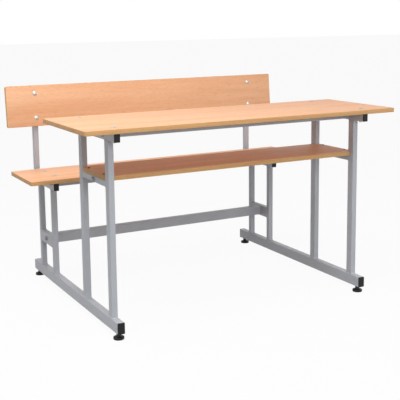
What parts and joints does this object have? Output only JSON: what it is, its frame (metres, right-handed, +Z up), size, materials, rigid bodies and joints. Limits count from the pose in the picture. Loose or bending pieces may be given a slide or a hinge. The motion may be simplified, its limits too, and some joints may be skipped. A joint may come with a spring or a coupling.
{
  "type": "student desk with attached seat",
  "caption": "School desk joined to a bench seat and backrest by a steel tube frame, with a book shelf under the top and screw-in levelling feet.",
  "frame": {"origin": "on the floor, under the middle of the box around the whole desk", "axes": "+X along the desk's width to a seated pupil's left, +Y from the desk's near edge to the backrest, +Z up"},
  "size_m": [1.2, 0.889, 0.7687],
  "materials": {
    "beech_laminate": "satin beech laminate on particle board",
    "silver_powder_coat": "satin silver-grey powder coat on steel tube",
    "black_plastic": "fine matt moulded plastic",
    "zinc_steel": "bright zinc plating",
    "black_steel": "black plated steel"
  },
  "bodies": {
    "frame": {"backrest_board": "beech_laminate", "backrest_bolt_lower_left": "zinc_steel", "backrest_bolt_lower_right": "zinc_steel", "backrest_bolt_upper_left": "zinc_steel", "backrest_bolt_upper_right": "zinc_steel", "backrest_upright_left": "silver_powder_coat", "backrest_upright_right": "silver_powder_coat", "base_runner_left": "silver_powder_coat", "base_runner_right": "silver_powder_coat", "book_shelf": "beech_laminate", "desk_bearer_cap_front_left": "black_plastic", "desk_bearer_cap_front_right": "black_plastic", "desk_bearer_cap_rear_left": "black_plastic", "desk_bearer_cap_rear_right": "black_plastic", "desk_bearer_left": "silver_powder_coat", "desk_bearer_right": "silver_powder_coat", "desk_leg_front_left": "silver_powder_coat", "desk_leg_front_right": "silver_powder_coat", "desk_leg_rear_left": "silver_powder_coat", "desk_leg_rear_right": "silver_powder_coat", "desk_rail": "silver_powder_coat", "desk_rail_bolt_left": "zinc_steel", "desk_rail_bolt_right": "zinc_steel", "desk_top": "beech_laminate", "foot_beam": "silver_powder_coat", "foot_beam_bolt_left": "zinc_steel", "foot_beam_bolt_right": "zinc_steel", "foot_rung_left": "silver_powder_coat", "foot_rung_right": "silver_powder_coat", "runner_cap_front_left": "black_plastic", "runner_cap_front_right": "black_plastic", "runner_cap_rear_left": "black_plastic", "runner_cap_rear_right": "black_plastic", "seat_bearer_cap_left": "black_plastic", "seat_bearer_cap_right": "black_plastic", "seat_bearer_left": "silver_powder_coat", "seat_bearer_right": "silver_powder_coat", "seat_board": "beech_laminate", "seat_leg_front_left": "silver_powder_coat", "seat_leg_front_right": "silver_powder_coat", "seat_leg_rear_left": "silver_powder_coat", "seat_leg_rear_right": "silver_powder_coat", "seat_rail": "silver_powder_coat", "seat_rail_bolt_left": "zinc_steel", "seat_rail_bolt_right": "zinc_steel", "shelf_beam": "silver_powder_coat", "shelf_beam_bolt_left": "zinc_steel", "shelf_beam_bolt_right": "zinc_steel", "shelf_rail_left": "silver_powder_coat", "shelf_rail_right": "silver_powder_coat"},
    "foot_front_left": {"foot_pad_front_left": "black_plastic"},
    "stud_front_left": {"foot_stud_front_left": "zinc_steel"},
    "foot_rear_left": {"foot_pad_rear_left": "black_plastic"},
    "stud_rear_left": {"foot_stud_rear_left": "zinc_steel"},
    "foot_front_right": {"foot_pad_front_right": "black_plastic"},
    "stud_front_right": {"foot_stud_front_right": "zinc_steel"},
    "foot_rear_right": {"foot_pad_rear_right": "black_plastic"},
    "stud_rear_right": {"foot_stud_rear_right": "zinc_steel"}
  },
  "joints": [
    {"name": "foot_height_front_left", "type": "slide", "parent": "frame", "child": "foot_front_left", "axis": [0, 0, -1], "range_m": [0, 0.01]},
    {"name": "stud_turn_front_left", "type": "hinge", "parent": "foot_front_left", "child": "stud_front_left", "pos_m": [-0.485, -0.3925, 0.02], "axis": [0, 0, 1], "range_deg": [0, 2880]},
    {"name": "foot_height_rear_left", "type": "slide", "parent": "frame", "child": "foot_rear_left", "axis": [0, 0, -1], "range_m": [0, 0.01]},
    {"name": "stud_turn_rear_left", "type": "hinge", "parent": "foot_rear_left", "child": "stud_rear_left", "pos_m": [-0.485, 0.4205, 0.02], "axis": [0, 0, 1], "range_deg": [0, 2880]},
    {"name": "foot_height_front_right", "type": "slide", "parent": "frame", "child": "foot_front_right", "axis": [0, 0, -1], "range_m": [0, 0.01]},
    {"name": "stud_turn_front_right", "type": "hinge", "parent": "foot_front_right", "child": "stud_front_right", "pos_m": [0.485, -0.3925, 0.02], "axis": [0, 0, 1], "range_deg": [0, 2880]},
    {"name": "foot_height_rear_right", "type": "slide", "parent": "frame", "child": "foot_rear_right", "axis": [0, 0, -1], "range_m": [0, 0.01]},
    {"name": "stud_turn_rear_right", "type": "hinge", "parent": "foot_rear_right", "child": "stud_rear_right", "pos_m": [0.485, 0.4205, 0.02], "axis": [0, 0, 1], "range_deg": [0, 2880]}
  ],
  "couplings": [
    {"joint": "stud_turn_front_left", "follows": "foot_height_front_left", "rad_per_m": 5026.5},
    {"joint": "stud_turn_rear_left", "follows": "foot_height_rear_left", "rad_per_m": 5026.5},
    {"joint": "stud_turn_front_right", "follows": "foot_height_front_right", "rad_per_m": 5026.5},
    {"joint": "stud_turn_rear_right", "follows": "foot_height_rear_right", "rad_per_m": 5026.5}
  ]
}
